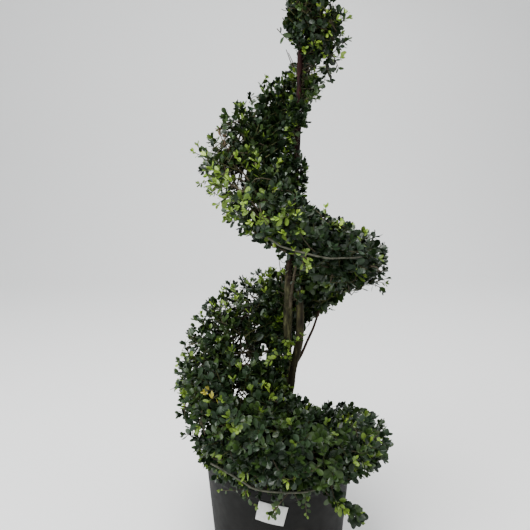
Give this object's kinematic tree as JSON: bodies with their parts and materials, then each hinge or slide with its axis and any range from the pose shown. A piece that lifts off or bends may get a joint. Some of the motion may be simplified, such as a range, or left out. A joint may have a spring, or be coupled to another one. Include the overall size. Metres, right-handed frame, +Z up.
{
  "type": "spiral topiary in a pot",
  "caption": "Small-leaved evergreen shrub clipped into a spiral round one upright trunk, standing in a plain round nursery pot.",
  "frame": {"origin": "centre of the pot's flat underside, on the surface that it stands on", "axes": "+Z up along the trunk; -Y is the side that faces the viewer in the picture; +X to the viewer's right"},
  "size_m": [0.3902, 0.3959, 1.1269],
  "materials": {
    "pot_plastic": "matte moulded",
    "soil": "rough, granular",
    "bark": "rough bark",
    "young_bark": "smooth bark",
    "foliage": "glossy leaves",
    "label": "plain white film"
  },
  "bodies": {
    "root": {"pot": "pot_plastic", "soil": "soil", "label": "label", "trunk": "bark", "second_stem": "young_bark", "thin_stem": "bark", "low_bough": "bark", "foliage_tip": "foliage", "foliage_sleeve": "foliage", "foliage_01": "foliage", "foliage_02": "foliage", "foliage_03": "foliage", "foliage_04": "foliage", "foliage_05": "foliage", "foliage_06": "foliage", "foliage_07": "foliage", "foliage_08": "foliage", "foliage_09": "foliage", "foliage_10": "foliage", "foliage_11": "foliage", "foliage_12": "foliage", "foliage_13": "foliage", "hanging_sprig": "foliage"}
  },
  "joints": []
}
